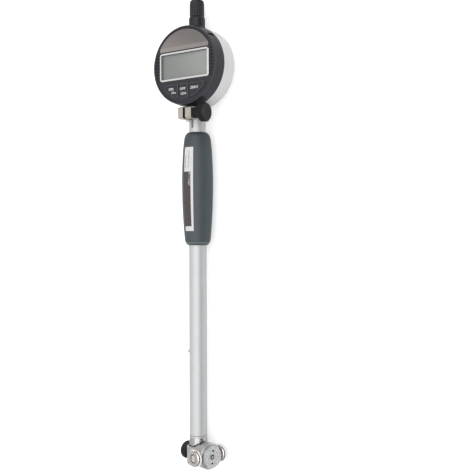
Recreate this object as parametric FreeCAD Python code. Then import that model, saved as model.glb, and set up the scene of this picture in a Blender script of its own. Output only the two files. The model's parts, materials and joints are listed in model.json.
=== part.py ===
"""Digital dial bore gauge, lying on its back with the display facing up.

Every piece is built standing, in the gauge's own axes: Z runs up the tube from the measuring head
to the indicator, X is to the right of someone who reads the display, and the display faces -Y.
The origin of those axes is where the tube's axis crosses the measuring axis of the head.
At the end the whole gauge is laid down on its back, as it comes to rest on a bench.
All sizes are in millimetres.
"""
import FreeCAD, Part
import math
import os

from FreeCAD import Matrix, Placement, Rotation, Vector

# ---------------------------------------------------------------- driving dimensions
# heights along the tube, from the measuring axis
DIAL_HEIGHT = 298.8          # centre of the round display
CLAMP_BOTTOM = 258.1
CLAMP_TOP = 267.0
SCREW_HEIGHT = 262.5         # axis of the thumbscrew
GRIP_TOP = 248.7
GRIP_BOTTOM = 161.5
LABEL_TOP = 236.8
LABEL_BOTTOM = 172.4
PIN_HEIGHT = 78.6
COLLAR_TOP = 12.6            # joint between the head's collar and the tube

# tube and stem
TUBE_RADIUS = 6.85
NECK_RADIUS = 6.4
NECK_BOTTOM = 244.0
STEM_RADIUS = 4.0
BORE_RADIUS = 4.03           # the stem slides in it
ROD_RADIUS = 1.5
SPINDLE_RADIUS = 2.0
ROD_TOP = 242.0              # the spindle's contact point rests here
RUN = 0.03                   # radial clearance of a running fit

# indicator, measured forward from the tube's axis
CASE_RADIUS = 30.6
CASE_WALL = 1.8
CASE_BACK = -6.2
CASE_FRONT = 6.85
CASE_FLOOR = 1.6
COVER_BACK = -7.5
SPLIT = 7.0                  # back of the black display housing
HOUSING_REAR_RADIUS = 30.9
HOUSING_FRONT_RADIUS = 30.0
HOUSING_INNER = 28.3
RIM_FRONT = 17.1
PANEL_FRONT = 16.6
PANEL_BACK = 15.0
BOARD_TOP = 13.4
HUB_RADIUS = 9.0

FRAME_WIDTH = 46.9
FRAME_HEIGHT = 22.1
FRAME_BAR = 1.5
FRAME_CORNER = 2.4
WINDOW_HALF_WIDTH = 23.0
WINDOW_ARC = 27.2
WINDOW_BOTTOM = 11.8

BUTTON_TOP = -14.2           # upper edge of the button row
BUTTON_ARC = 25.6
BUTTON_SPLIT = 4.5           # half width of the middle button
BUTTON_GAP = 0.9
BUTTON_END = 19.6
BUTTON_FACE = 17.7
BUTTON_TRAVEL = 0.4

# measuring head
HEAD_TURN = 15.45            # degrees that the measuring axis is turned from the display's plane
HEAD_RADIUS = 10.0
POST_RADIUS = 8.9             # upright round post of the head, in line with the tube
SHOULDER = 6.2                # its top, under the collar
COLLAR_GAP = 0.4
SPIGOT_RADIUS = 5.6
SPIGOT_END = 7.2
FLAT_HEIGHT = 8.2             # flat on the barrel beside the collar
FLAT_END = 9.6
HEAD_FRONT = 15.5
HEAD_BORE = 7.5
HEAD_BORE_FLOOR = 6.5
CAP_RADIUS = 8.63
CAP_FACE = 17.75
SPANNER_HOLE_OFFSET = 4.79
SPANNER_HOLE_TURN = -6.0
TIP_OPENING = 1.95
PLUNGER_RADIUS = 2.4
TIP_RADIUS = 1.5
TIP_END = 19.6
WHEEL_RADIUS = 6.8
WHEEL_INNER = 10.3           # distance of the wheel's inner face from the tube's axis
WHEEL_OUTER = 14.2
WHEEL_FORWARD = 11.76        # how far in front of the tube's axis the wheels turn
WHEEL_TRAVEL = 1.5
CONTACT_TRAVEL = 1.2
LEVER_ARM = 5.0
NUT_RADIUS = 6.92
NUT_END = -14.74
NUT_START = -8.95
SEAT_RADIUS = 4.5
SEAT_END = -14.0
SEAT_BORE = 2.5
SEAT_BORE_LENGTH = 9.0

# clamp
SLIT = 1.9
EAR_LEFT = 5.65
EAR_RIGHT = 6.55
EAR_FRONT = 17.0
COLLAR_RADIUS = 9.0
SCREW_FORWARD = 11.0
KNOB_RADIUS = 7.2
KNOB_START = 12.0
KNOB_END = 17.0
BOSS_RADIUS = 4.25

# how the gauge lies: turned about the row's X and Y axes from lying flat along the tube
REST_PITCH = 0.188
REST_ROLL = -4.76


# ---------------------------------------------------------------- frames of the sub-assemblies
def frame(origin, y_dir, z_dir):
    """Placement whose own Y and Z axes are the given directions."""
    x_dir = y_dir.cross(z_dir)
    return Placement(Matrix(x_dir.x, y_dir.x, z_dir.x, origin.x,
                            x_dir.y, y_dir.y, z_dir.y, origin.y,
                            x_dir.z, y_dir.z, z_dir.z, origin.z,
                            0, 0, 0, 1))


UP = Vector(0, 0, 1)
RIGHT = Vector(1, 0, 0)
FORWARD = Vector(0, -1, 0)
turn = math.radians(HEAD_TURN)
MEASURE = Vector(math.cos(turn), -math.sin(turn), 0)      # out of the head, towards the contact
ORIGIN = Vector(0, 0, 0)

DIAL = frame(Vector(0, 0, DIAL_HEIGHT), UP, FORWARD)
HEAD = frame(ORIGIN, UP, MEASURE)
SCREW = frame(Vector(0, -SCREW_FORWARD, SCREW_HEIGHT), UP, RIGHT)
PIN = frame(Vector(0, 0, PIN_HEIGHT), UP, RIGHT)
# the wheels' axles, in the head's own axes
HEAD_UP = Vector(0, 1, 0)
WHEEL_SIDE = frame(Vector(0, 0, WHEEL_FORWARD), HEAD_UP, RIGHT)
OTHER_SIDE = frame(Vector(0, 0, WHEEL_FORWARD), HEAD_UP, Vector(-1, 0, 0))


def placed(shape, *placements):
    """The shape moved through each placement in turn."""
    result = shape.copy()
    for placement in placements:
        result = result.transformed(placement.toMatrix())
    return result


# ---------------------------------------------------------------- building blocks
def rod(radius, low, high, x=0.0, y=0.0):
    """Cylinder along Z."""
    return Part.makeCylinder(radius, high - low, Vector(x, y, low))


def tube(outer, inner, low, high, x=0.0, y=0.0):
    """Hollow cylinder along Z."""
    return rod(outer, low, high, x, y).cut(rod(inner, low - 1, high + 1, x, y))


def turned(points):
    """Solid turned about Z from a closed outline of (radius, height) corners."""
    corners = [Vector(radius, 0, height) for radius, height in points]
    outline = Part.makePolygon(corners + corners[:1])
    return Part.Face(outline).revolve(ORIGIN, UP, 360)


def turned_edges(edges):
    """Solid turned about Z from the edges of a closed outline in the XZ plane."""
    return Part.Face(Part.Wire(edges)).revolve(ORIGIN, UP, 360)


def line(start, end):
    """Straight edge in the XZ plane between two (radius, height) points."""
    return Part.makeLine(Vector(start[0], 0, start[1]), Vector(end[0], 0, end[1]))


def arc(start, middle, end):
    """Round edge in the XZ plane through three (radius, height) points."""
    points = [Vector(radius, 0, height) for radius, height in (start, middle, end)]
    return Part.Arc(*points).toShape()


def curve(points):
    """Smooth edge in the XZ plane through (radius, height) points."""
    spline = Part.BSplineCurve()
    spline.interpolate([Vector(radius, 0, height) for radius, height in points])
    return spline.toShape()


def box(x_low, x_high, y_low, y_high, z_low, z_high):
    """Box between two corners."""
    return Part.makeBox(x_high - x_low, y_high - y_low, z_high - z_low, Vector(x_low, y_low, z_low))


def rounded_block(width, height, low, high, corner):
    """Block centred on Z with its four upright edges rounded."""
    block = box(-width / 2, width / 2, -height / 2, height / 2, low, high)
    upright = [edge for edge in block.Edges
               if abs(edge.Vertexes[0].Z - edge.Vertexes[1].Z) > (high - low) / 2]
    return block.makeFillet(corner, upright)


def knurled(radius, low, high, teeth, depth, bevel):
    """Cylinder along Z with straight knurling round it and bevelled ends."""
    corners = []
    for index in range(2 * teeth):
        reach = radius if index % 2 else radius - depth
        angle = math.pi * index / teeth
        corners.append(Vector(reach * math.cos(angle), reach * math.sin(angle), low))
    prism = Part.Face(Part.makePolygon(corners + corners[:1])).extrude(Vector(0, 0, high - low))
    blank = turned([(0, low), (radius - bevel, low), (radius, low + bevel),
                    (radius, high - bevel), (radius - bevel, high), (0, high)])
    return prism.common(blank)


def spring(radius, wire, low, turns, pitch):
    """Helical spring of square wire along Z, from its lower end."""
    path = Part.makeHelix(pitch, pitch * turns, radius)
    half = wire / 2
    corners = [Vector(radius + x, 0, z) for x, z in ((half, half), (-half, half), (-half, -half), (half, -half))]
    coil = Part.Wire(path).makePipeShell([Part.makePolygon(corners + corners[:1])], True, True)
    coil.translate(Vector(0, 0, low + half))
    return coil


def slotted_screw(head_radius, head_low, head_high, shank_radius, shank_low, slot_width, slot_depth):
    """Screw along Z, head upwards, with a straight slot across the head."""
    screw = rod(head_radius, head_low, head_high).fuse(rod(shank_radius, shank_low, head_low))
    slot = box(-head_radius - 1, head_radius + 1, -slot_width / 2, slot_width / 2,
               head_high - slot_depth, head_high + 1)
    return screw.cut(slot).removeSplitter()


# ---------------------------------------------------------------- indicator case, in the dial's axes
def along_stem(shape):
    """From axes with Z up the stem to the dial's axes, whose Y runs up the stem."""
    return shape.transformed(Placement(ORIGIN, Rotation(Vector(1, 0, 0), -90)).toMatrix())


def indicator_case():
    """Turned aluminium cup, open at the back, with four screw posts and bores for stem and sleeve."""
    inner = CASE_RADIUS - CASE_WALL
    floor = CASE_FRONT - CASE_FLOOR
    cup = turned([(HUB_RADIUS + RUN, floor), (HUB_RADIUS + RUN, CASE_FRONT),
                  (CASE_RADIUS - 0.3, CASE_FRONT), (CASE_RADIUS, CASE_FRONT - 0.3),
                  (CASE_RADIUS, CASE_BACK), (inner, CASE_BACK), (inner, floor)])
    for index in range(4):
        angle = math.radians(45 + 90 * index)
        x, y = 25.0 * math.cos(angle), 25.0 * math.sin(angle)
        post = rod(2.1, CASE_BACK, floor, x, y).cut(rod(0.8, CASE_BACK - 1, CASE_BACK + 6, x, y))
        cup = cup.fuse(post)
    cup = cup.cut(along_stem(rod(STEM_RADIUS, -CASE_RADIUS - 1, -20)))
    return cup.cut(along_stem(rod(5.0, 20, CASE_RADIUS + 1)))


def rear_cover():
    """Flat back with a bevelled edge, a locating ring and four countersunk holes."""
    ring_outer = CASE_RADIUS - CASE_WALL - 0.05
    cover = turned([(0, COVER_BACK), (CASE_RADIUS - 0.8, COVER_BACK), (CASE_RADIUS - 0.1, COVER_BACK + 0.7),
                    (CASE_RADIUS - 0.1, CASE_BACK), (ring_outer, CASE_BACK), (ring_outer, CASE_BACK + 1.0),
                    (ring_outer - 1.3, CASE_BACK + 1.0), (ring_outer - 1.3, CASE_BACK), (0, CASE_BACK)])
    for index in range(4):
        angle = math.radians(45 + 90 * index)
        x, y = 25.0 * math.cos(angle), 25.0 * math.sin(angle)
        hole = Part.makeCone(1.9, 1.0, 0.9, Vector(x, y, COVER_BACK))
        cover = cover.cut(hole).cut(rod(1.0, COVER_BACK, CASE_BACK + 1, x, y))
    return cover


def rear_cover_screws():
    """Four countersunk screws that hold the rear cover."""
    screws = []
    for index in range(4):
        angle = math.radians(45 + 90 * index)
        x, y = 25.0 * math.cos(angle), 25.0 * math.sin(angle)
        head = Part.makeCone(1.9, 1.0, 0.9, Vector(x, y, COVER_BACK))
        screw = head.fuse(rod(0.78, COVER_BACK + 0.9, CASE_BACK + 4.5, x, y))
        for width, height in ((2.4, 0.5), (0.5, 2.4)):
            screw = screw.cut(box(x - width / 2, x + width / 2, y - height / 2, y + height / 2,
                                  COVER_BACK - 1, COVER_BACK + 0.45))
        screws.append(screw)
    return Part.Compound(screws)


def stem(case):
    """Steel stem: it seats inside the case on a flange and goes down into the neck of the tube."""
    body = tube(STEM_RADIUS, 2.8, -52.0, -27.0).fuse(tube(5.2, 2.8, -29.6, -27.0))
    return along_stem(body).cut(case)


def top_sleeve():
    """Black sleeve on top of the case, saddled on its round side, with a neck for the dust cap."""
    plug = tube(5.0, 3.0, 27.4, 32.0)
    outside = turned([(3.0, 29.4), (6.9, 29.4), (6.9, 31.4), (6.3, 32.2), (6.3, 38.7), (5.7, 39.8),
                      (4.9, 39.8), (4.9, 46.5), (3.0, 46.5)])
    saddle = along_stem(outside).cut(rod(CASE_RADIUS, -10, 10))
    return saddle.fuse(along_stem(plug)).removeSplitter()


def dust_cap():
    """Knurled cap that covers the upper end of the spindle."""
    low, high, radius = 39.9, 52.8, 5.7
    blank = knurled(radius, low, high - 2.2, 24, 0.18, 0.25)
    dome = turned_edges([line((0, high - 2.6), (radius - 0.25, high - 2.6)),
                         line((radius - 0.25, high - 2.6), (radius - 0.25, high - 1.4)),
                         arc((radius - 0.25, high - 1.4), (radius - 0.66, high - 0.41), (radius - 1.65, high)),
                         line((radius - 1.65, high), (0, high)),
                         line((0, high), (0, high - 2.6))])
    return along_stem(blank.fuse(dome).cut(rod(4.95, low - 1, high - 1.8)).removeSplitter())


def upper_bush():
    """Bronze bush of the spindle in the top sleeve."""
    return along_stem(tube(3.0, SPINDLE_RADIUS + RUN, 30.0, 38.0))


def lower_bush():
    """Bronze bush of the spindle at the foot of the stem."""
    return along_stem(tube(2.8, SPINDLE_RADIUS + RUN, -51.8, -44.8))


def spindle():
    """Steel spindle that carries the reading up to the sensor."""
    return along_stem(rod(SPINDLE_RADIUS, ROD_TOP - DIAL_HEIGHT + 6.0, 49.0))


def contact_point():
    """Round-nosed point on the foot of the spindle."""
    low = ROD_TOP - DIAL_HEIGHT + RUN
    point = turned_edges([line((0, low), (0.3, low)), arc((0.3, low), (0.95, low + 0.4), (1.3, low + 1.3)),
                          line((1.3, low + 1.3), (1.9, low + 3.4)),
                          line((1.9, low + 3.4), (1.9, low + 6.0 - RUN)),
                          line((1.9, low + 6.0 - RUN), (0, low + 6.0 - RUN)),
                          line((0, low + 6.0 - RUN), (0, low))])
    return along_stem(point)


def scale_carrier():
    """Block clamped on the spindle that holds the scale strip."""
    return rounded_block(10, 12, -3.4, 3.4, 1.5).cut(along_stem(rod(SPINDLE_RADIUS, -10, 10)))


def scale_strip():
    """Thin graduated strip on the back of the carrier."""
    return box(-3, 3, -12, 9.5, -4.4, -3.4)


def sensor_board():
    """Circuit board with the capacitive sensor, on the rear cover."""
    return rounded_block(17, 30, CASE_BACK, CASE_BACK + 1.0, 2.0)


def spindle_spring():
    """Spring over the spindle that pushes it down, drawn at its compressed length."""
    return along_stem(spring(3.65, 0.55, 10.2, 5, 3.3))


# ---------------------------------------------------------------- display, in the dial's axes
def button_outline(x_low, x_high, grow, low, high):
    """Block under the display, cut to a piece of the round face, grown by a margin all round."""
    disc = rod(BUTTON_ARC + grow, low, high)
    block = box(x_low - grow, x_high + grow, -BUTTON_ARC - 5, BUTTON_TOP + grow, low, high)
    return disc.common(block)


BUTTON_SPANS = {
    "unit_button": (-BUTTON_END, -BUTTON_SPLIT - BUTTON_GAP),
    "power_button": (-BUTTON_SPLIT, BUTTON_SPLIT),
    "zero_button": (BUTTON_SPLIT + BUTTON_GAP, BUTTON_END),
}


def button(name):
    """Rocker-topped key with a retaining flange under the panel."""
    x_low, x_high = BUTTON_SPANS[name]
    key = button_outline(x_low, x_high, 0.0, PANEL_BACK - 0.1, BUTTON_FACE)
    front = [edge for edge in key.Edges
             if all(abs(vertex.Z - BUTTON_FACE) < 1e-6 for vertex in edge.Vertexes)]
    key = key.makeChamfer(0.35, front)
    flange = button_outline(x_low, x_high, 0.3, PANEL_BACK - 0.8, PANEL_BACK - 0.1)
    return key.fuse(flange).removeSplitter()


FINGER_RIBS = 9               # grooves between the finger ribs on each side of the screen
FINGER_RIB_PITCH = 2.45
FINGER_RIB_DEPTH = 0.6
FINGER_RIB_REACH = 27.9


def display_housing():
    """Black front shell: a slightly tapered wall and a panel with openings for screen and keys."""
    shell = turned_edges([line((HOUSING_INNER, SPLIT), (HOUSING_REAR_RADIUS, SPLIT)),
                          line((HOUSING_REAR_RADIUS, SPLIT), (HOUSING_FRONT_RADIUS, RIM_FRONT - 1.0)),
                          arc((HOUSING_FRONT_RADIUS, RIM_FRONT - 1.0), (29.7, 16.8), (29.0, RIM_FRONT)),
                          line((29.0, RIM_FRONT), (28.5, RIM_FRONT)),
                          line((28.5, RIM_FRONT), (28.0, PANEL_FRONT)),
                          line((28.0, PANEL_FRONT), (0, PANEL_FRONT)),
                          line((0, PANEL_FRONT), (0, PANEL_BACK)),
                          line((0, PANEL_BACK), (HOUSING_INNER, PANEL_BACK)),
                          line((HOUSING_INNER, PANEL_BACK), (HOUSING_INNER, SPLIT))])
    shell = shell.cut(rounded_block(FRAME_WIDTH - 1.5, FRAME_HEIGHT - 1.5, PANEL_BACK - 1,
                                    PANEL_FRONT + 1, FRAME_CORNER - 0.75))
    for x_low, x_high in BUTTON_SPANS.values():
        shell = shell.cut(button_outline(x_low, x_high, 0.15, PANEL_BACK - 1, PANEL_FRONT + 1))
    ring = rod(FINGER_RIB_REACH, PANEL_FRONT - FINGER_RIB_DEPTH, RIM_FRONT)
    for index in range(FINGER_RIBS):
        middle = FINGER_RIB_PITCH * (index - (FINGER_RIBS - 1) / 2)
        bar = box(-30, 30, middle - 0.5, middle + 0.5, PANEL_FRONT - 1, RIM_FRONT)
        shell = shell.cut(bar.common(ring).cut(box(-24.3, 24.3, -12, 12, PANEL_FRONT - 1, RIM_FRONT)))
    return shell.cut(data_slot(3.2, 6.6, 0.0))


SLOT_ANGLE = 44.0
SLOT_CENTRE = 11.8


def data_slot(width, length, depth):
    """Block on the rim at the data socket, its floor at the given height over the inner wall."""
    block = box(HOUSING_INNER - 0.6 + depth, HOUSING_REAR_RADIUS + 1, -width / 2, width / 2,
                SLOT_CENTRE - length / 2, SLOT_CENTRE + length / 2)
    return block.rotated(ORIGIN, UP, SLOT_ANGLE)


def data_socket():
    """Plastic socket block that fills the slot's floor, with a tongue in its middle."""
    base = box(HOUSING_INNER - 2.2, HOUSING_INNER + 0.3, -1.6, 1.6, SLOT_CENTRE - 3.0, SLOT_CENTRE + 3.0)
    tongue = box(HOUSING_INNER, HOUSING_INNER + 1.5, -0.45, 0.45, SLOT_CENTRE - 2.3, SLOT_CENTRE + 2.3)
    return base.fuse(tongue).rotated(ORIGIN, UP, SLOT_ANGLE)


def display_base():
    """Back plate of the display with the hub that turns in the case."""
    return turned([(6.5, 3.9), (8.4, 3.9), (8.4, 5.1), (HUB_RADIUS, 5.1), (HUB_RADIUS, SPLIT),
                   (HOUSING_INNER, SPLIT), (HOUSING_INNER, SPLIT + 1.6), (6.5, SPLIT + 1.6)])


def display_retainer():
    """Ring on the hub that keeps the display on the case."""
    return tube(10.6, 8.4, 4.3, 5.1)


def display_board():
    """Round circuit board behind the screen, cleared for the data socket."""
    return rod(HOUSING_INNER, BOARD_TOP - 1.0, BOARD_TOP).cut(
        box(HOUSING_INNER - 2.3, 40, -2, 2, 0, 20).rotated(ORIGIN, UP, SLOT_ANGLE))


def lcd_frame():
    """Bright frame round the screen, with a collar through the panel."""
    flange = rounded_block(FRAME_WIDTH, FRAME_HEIGHT, PANEL_FRONT, RIM_FRONT + 0.1, FRAME_CORNER)
    front = [edge for edge in flange.Edges
             if all(abs(vertex.Z - RIM_FRONT - 0.1) < 1e-6 for vertex in edge.Vertexes)]
    flange = flange.makeChamfer(0.3, front)
    collar = rounded_block(FRAME_WIDTH - 1.6, FRAME_HEIGHT - 1.6, BOARD_TOP, PANEL_FRONT, FRAME_CORNER - 0.8)
    inside = rounded_block(FRAME_WIDTH - 2 * FRAME_BAR, FRAME_HEIGHT - 2 * FRAME_BAR, BOARD_TOP - 1,
                           RIM_FRONT + 1, FRAME_CORNER - FRAME_BAR)
    return flange.fuse(collar).cut(inside).removeSplitter()


def lcd_panel():
    """Liquid crystal panel on the circuit board."""
    return rounded_block(FRAME_WIDTH - 2 * FRAME_BAR - 0.3, FRAME_HEIGHT - 2 * FRAME_BAR - 0.3,
                         BOARD_TOP, BOARD_TOP + 1.5, 0.5)


def lcd_window():
    """Clear window held in the frame over the panel."""
    return rounded_block(FRAME_WIDTH - 2 * FRAME_BAR, FRAME_HEIGHT - 2 * FRAME_BAR,
                         PANEL_FRONT - 1.0, PANEL_FRONT - 0.2, FRAME_CORNER - FRAME_BAR)


def window_plate():
    """Glossy plate over the upper part of the panel, above the screen."""
    disc = rod(WINDOW_ARC, PANEL_FRONT, PANEL_FRONT + 0.4)
    return disc.common(box(-WINDOW_HALF_WIDTH, WINDOW_HALF_WIDTH, WINDOW_BOTTOM, 40,
                           PANEL_FRONT, PANEL_FRONT + 0.4))


def battery():
    """Coin cell between the back plate and the circuit board."""
    low = SPLIT + 1.6
    return turned([(0, low), (9.2, low), (9.2, low + 0.4), (10.0, low + 0.4), (10.0, low + 3.2),
                   (0, low + 3.2)]).translated(Vector(0, -14, 0))


# ---------------------------------------------------------------- clamp, tube and handle
def clamp_collar():
    """Split ring round the neck with two ears in front for the thumbscrew."""
    ring = tube(COLLAR_RADIUS, NECK_RADIUS, CLAMP_BOTTOM, CLAMP_TOP)
    ears = box(-EAR_LEFT, EAR_RIGHT, -EAR_FRONT, -5.0, CLAMP_BOTTOM, CLAMP_TOP)
    lengthwise = [edge for edge in ears.Edges
                  if abs(edge.Vertexes[0].X - edge.Vertexes[1].X) > 1 and edge.Vertexes[0].Y < -10]
    ears = ears.makeFillet(1.5, lengthwise).cut(rod(NECK_RADIUS, 0, 400))
    collar = ring.fuse(ears).removeSplitter()
    collar = collar.cut(box(-SLIT / 2, SLIT / 2, -EAR_FRONT - 1, 0, CLAMP_BOTTOM - 1, CLAMP_TOP + 1))
    collar = collar.cut(placed(rod(2.2, 0, EAR_RIGHT + 1), SCREW))
    return collar.cut(placed(rod(2.0, -EAR_LEFT - 1, 0), SCREW))


def thumbscrew_stud():
    """Threaded steel stud that draws the ears together."""
    return rod(1.97, -EAR_LEFT - 1.6, KNOB_START + 2.5)


def thumbscrew_knob():
    """Black knurled knob moulded on the stud, with a long round boss."""
    boss = turned([(0, EAR_RIGHT + 0.1), (BOSS_RADIUS - 0.5, EAR_RIGHT + 0.1), (BOSS_RADIUS, EAR_RIGHT + 0.6),
                   (BOSS_RADIUS, KNOB_START), (0, KNOB_START)])
    head = knurled(KNOB_RADIUS, KNOB_START, KNOB_END, 30, 0.4, 0.6)
    knob = boss.fuse(head).cut(rod(1.97, 0, KNOB_START + 2.5))
    recess = turned_edges([line((0, KNOB_END - 0.45), (4.9, KNOB_END)), line((4.9, KNOB_END), (0, KNOB_END)),
                           line((0, KNOB_END), (0, KNOB_END - 0.45))])
    return knob.cut(recess).removeSplitter()


def main_tube():
    """Long steel tube, turned down to a neck that is slit where the clamp closes it."""
    body = turned([(BORE_RADIUS, COLLAR_TOP), (TUBE_RADIUS, COLLAR_TOP), (TUBE_RADIUS, NECK_BOTTOM),
                   (NECK_RADIUS, NECK_BOTTOM), (NECK_RADIUS, CLAMP_TOP), (BORE_RADIUS, CLAMP_TOP)])
    slit = box(-SLIT / 2, SLIT / 2, -10, 0, CLAMP_BOTTOM - 6, CLAMP_TOP + 1)
    return body.cut(slit).cut(placed(rod(1.35, -TUBE_RADIUS - 1, -TUBE_RADIUS + 2), PIN))


BARREL = [(10.05, 166.0), (10.95, 177.0), (11.65, 190.0), (12.05, 205.0), (12.05, 216.0),
          (11.65, 227.5), (10.95, 238.5), (10.15, 244.6)]


def handle_grip():
    """Barrel-shaped grip with rounded shoulders, bored for the tube."""
    inner = TUBE_RADIUS
    blank = turned_edges([line((inner - 1, GRIP_BOTTOM), (7.6, GRIP_BOTTOM)),
                          arc((7.6, GRIP_BOTTOM), (9.25, 163.3), BARREL[0]),
                          curve(BARREL),
                          arc(BARREL[-1], (9.3, 246.9), (7.7, GRIP_TOP)),
                          line((7.7, GRIP_TOP), (inner - 1, GRIP_TOP)),
                          line((inner - 1, GRIP_TOP), (inner - 1, GRIP_BOTTOM))])
    return blank.cut(rod(TUBE_RADIUS, GRIP_BOTTOM - 1, NECK_BOTTOM)).cut(
        rod(NECK_RADIUS, NECK_BOTTOM, GRIP_TOP + 1))


def handle_label(grip):
    """Thin plate that follows the front of the barrel."""
    skin = 0.2
    half_angle = math.radians(20.5)
    outside = turned_edges([line((5, BARREL[0][1]), (BARREL[0][0] + skin, BARREL[0][1])),
                            curve([(radius + skin, height) for radius, height in BARREL]),
                            line((BARREL[-1][0] + skin, BARREL[-1][1]), (5, BARREL[-1][1])),
                            line((5, BARREL[-1][1]), (5, BARREL[0][1]))])
    x, y = 20 * math.sin(half_angle), -20 * math.cos(half_angle)
    corners = [Vector(0, 0, LABEL_BOTTOM), Vector(-x, y, LABEL_BOTTOM), Vector(x, y, LABEL_BOTTOM)]
    wedge = Part.Face(Part.makePolygon(corners + corners[:1])).extrude(Vector(0, 0, LABEL_TOP - LABEL_BOTTOM))
    return outside.common(wedge).cut(grip).cut(rod(9.9, 0, 400))


def guide_pin():
    """Small dark pin that stands out of the tube's side."""
    return turned([(0, -TUBE_RADIUS - 2.4), (1.05, -TUBE_RADIUS - 2.4), (1.35, -TUBE_RADIUS - 2.1),
                   (1.35, -TUBE_RADIUS + 2.0), (0, -TUBE_RADIUS + 2.0)])


def push_rod():
    """Steel rod that carries the reading up the tube, with a collar for its spring."""
    low = LEVER_ARM + 1.6 + RUN
    return rod(ROD_RADIUS, low, ROD_TOP).fuse(rod(3.2, 198.0, 200.0)).removeSplitter()


def rod_bush_upper():
    """Bronze bush of the push rod in the upper tube."""
    return tube(BORE_RADIUS, ROD_RADIUS + RUN, 222.0, 232.0)


def rod_bush_lower():
    """Bronze bush of the push rod in the head's collar."""
    return tube(3.0, ROD_RADIUS + RUN, 12.0, 20.0)


def push_rod_spring():
    """Spring that keeps the push rod down on the lever, drawn at its compressed length."""
    return spring(2.75, 0.55, 201.4, 6, 3.3)


# ---------------------------------------------------------------- measuring head, in the head's axes
def upright(shape):
    """From axes with Z up the tube to the head's axes, whose Y runs up the tube."""
    return shape.transformed(Placement(ORIGIN, Rotation(Vector(1, 0, 0), -90)).toMatrix())


def head_collar():
    """Collar under the tube: it saddles over the round head, with spigots into head and tube."""
    skirt = upright(tube(6.95, SPIGOT_RADIUS, SHOULDER + COLLAR_GAP, COLLAR_TOP)).cut(barrel(COLLAR_GAP))
    spigots = upright(tube(SPIGOT_RADIUS, 3.0, SPIGOT_END, COLLAR_TOP).fuse(tube(BORE_RADIUS, 3.0, COLLAR_TOP, 20.0)))
    return skirt.fuse(spigots).removeSplitter()


def across(shape):
    """From axes with Z along the wheels' axle to the head's axes, whose X runs along it."""
    return shape.transformed(Placement(ORIGIN, Rotation(Vector(0, 1, 0), 90)).toMatrix())


def barrel(gap):
    """The round front of the head, flattened on top beside the collar, and larger all round by the gap."""
    back = 2.0 - gap
    front = turned([(0, back), (8.7 + gap, back), (HEAD_RADIUS + gap, 8.0 - gap),
                    (HEAD_RADIUS + gap, HEAD_FRONT - 0.8), (HEAD_RADIUS - 0.8 + gap, HEAD_FRONT), (0, HEAD_FRONT)])
    flat = upright(rod(13.0, FLAT_HEIGHT + gap, 14.0)).common(box(-14, 14, 0, 14, -14, FLAT_END))
    return front.cut(flat)


def head_body():
    """Body of the head: an upright post under the tube, and a round barrel for slide, posts and lever."""
    post = upright(turned([(0, -POST_RADIUS), (POST_RADIUS - 1.5, -POST_RADIUS), (POST_RADIUS, 1.5 - POST_RADIUS),
                           (POST_RADIUS, SHOULDER - 0.8), (POST_RADIUS - 0.8, SHOULDER),
                           (SPIGOT_RADIUS, SHOULDER), (SPIGOT_RADIUS, SPIGOT_END), (0, SPIGOT_END)]))
    body = post.fuse(barrel(0)).removeSplitter()
    body = body.cut(rod(HEAD_BORE, HEAD_BORE_FLOOR, HEAD_FRONT + 1))
    body = body.cut(upright(rod(SPIGOT_RADIUS, SPIGOT_END, 12.0)))
    body = body.cut(box(-2.05, 2.05, -3.4, 8.5, -3.5, HEAD_BORE_FLOOR + 0.1))
    body = body.cut(rod(2.45, 2.6, HEAD_BORE_FLOOR + 0.1))
    for forward in (WHEEL_FORWARD, WHEEL_FORWARD - WHEEL_TRAVEL):
        body = body.cut(across(rod(2.25, -12, 12)).translated(Vector(0, 0, forward)))
    body = body.cut(box(-12, 12, -2.25, 2.25, WHEEL_FORWARD - WHEEL_TRAVEL, WHEEL_FORWARD))
    body = body.cut(across(rod(1.0, -12, 12)).translated(Vector(0, LEVER_ARM, LEVER_ARM)))
    return body.cut(rod(SEAT_RADIUS, -POST_RADIUS - 1, -4.5))


def front_cap():
    """Round cap screwed into the front, with two spanner holes and the bore of the contact."""
    cap = turned_edges([line((0, 14.0), (HEAD_BORE, 14.0)), line((HEAD_BORE, 14.0), (HEAD_BORE, HEAD_FRONT)),
                        line((HEAD_BORE, HEAD_FRONT), (CAP_RADIUS, HEAD_FRONT)),
                        line((CAP_RADIUS, HEAD_FRONT), (CAP_RADIUS, CAP_FACE - 0.6)),
                        arc((CAP_RADIUS, CAP_FACE - 0.6), (CAP_RADIUS - 0.17, CAP_FACE - 0.17),
                            (CAP_RADIUS - 0.6, CAP_FACE)),
                        line((CAP_RADIUS - 0.6, CAP_FACE), (0, CAP_FACE)),
                        line((0, CAP_FACE), (0, 14.0))])
    cap = cap.cut(rod(PLUNGER_RADIUS + RUN, 13.0, 16.4)).cut(rod(TIP_OPENING, 16.0, CAP_FACE + 1))
    for side in (-1, 1):
        hole = rod(0.65, CAP_FACE - 1.6, CAP_FACE + 1, 0, side * SPANNER_HOLE_OFFSET)
        cap = cap.cut(hole.rotated(ORIGIN, UP, SPANNER_HOLE_TURN))
    return cap


def contact_plunger():
    """Sliding plunger behind the contact; its tail presses on the lever."""
    tail = LEVER_ARM + 1.6 + RUN
    return turned([(0, tail), (1.8, tail), (1.8, 8.2), (PLUNGER_RADIUS, 8.2), (PLUNGER_RADIUS, 16.3), (0, 16.3)])


def contact_tip():
    """Hard round-nosed tip that touches the bore."""
    return turned_edges([line((0, 16.3), (TIP_RADIUS, 16.3)), line((TIP_RADIUS, 16.3), (TIP_RADIUS, TIP_END - 0.7)),
                         arc((TIP_RADIUS, TIP_END - 0.7), (1.1, TIP_END - 0.25), (0.4, TIP_END)),
                         line((0.4, TIP_END), (0, TIP_END)), line((0, TIP_END), (0, 16.3))])


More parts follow.
